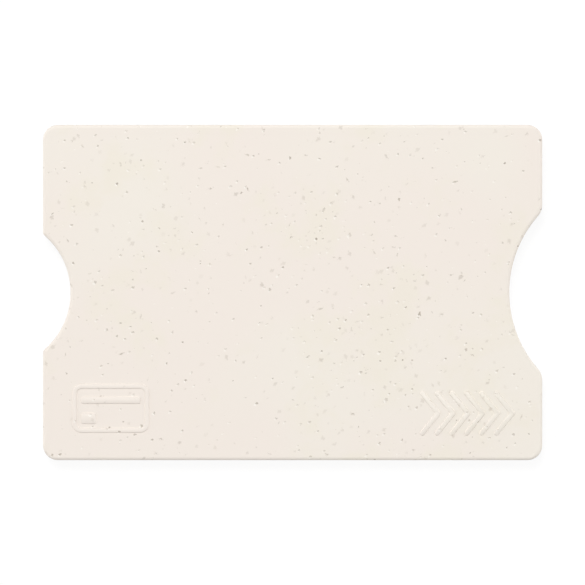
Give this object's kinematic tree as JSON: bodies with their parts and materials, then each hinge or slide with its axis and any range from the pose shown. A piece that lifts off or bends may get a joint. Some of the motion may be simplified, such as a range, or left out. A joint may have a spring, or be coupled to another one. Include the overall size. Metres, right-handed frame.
{
  "type": "card case",
  "caption": "Flat rigid sleeve for a bank card, open at a short end, with rounded thumb notches through its ends and shielding foil inside its faces.",
  "frame": {"origin": "under the middle of the case, on its back face", "axes": "+X along the case towards its open mouth, +Y across it, +Z out of the front face; the case lies on its back"},
  "size_m": [0.091, 0.061, 0.004],
  "materials": {
    "shell": "moulded thermoplastic filled with ground straw, cream with small pale brown flecks",
    "shield_adhesive": "acrylic adhesive sheet, milky",
    "shield_foil": "rolled foil, bright",
    "shield_film": "clear slip film"
  },
  "bodies": {
    "root": {"back_cover": "shell", "front_cover": "shell", "left_rail": "shell", "right_rail": "shell", "back_shield_adhesive": "shield_adhesive", "front_shield_adhesive": "shield_adhesive", "back_shield_foil": "shield_foil", "front_shield_foil": "shield_foil", "back_shield_film": "shield_film", "front_shield_film": "shield_film"}
  },
  "joints": []
}
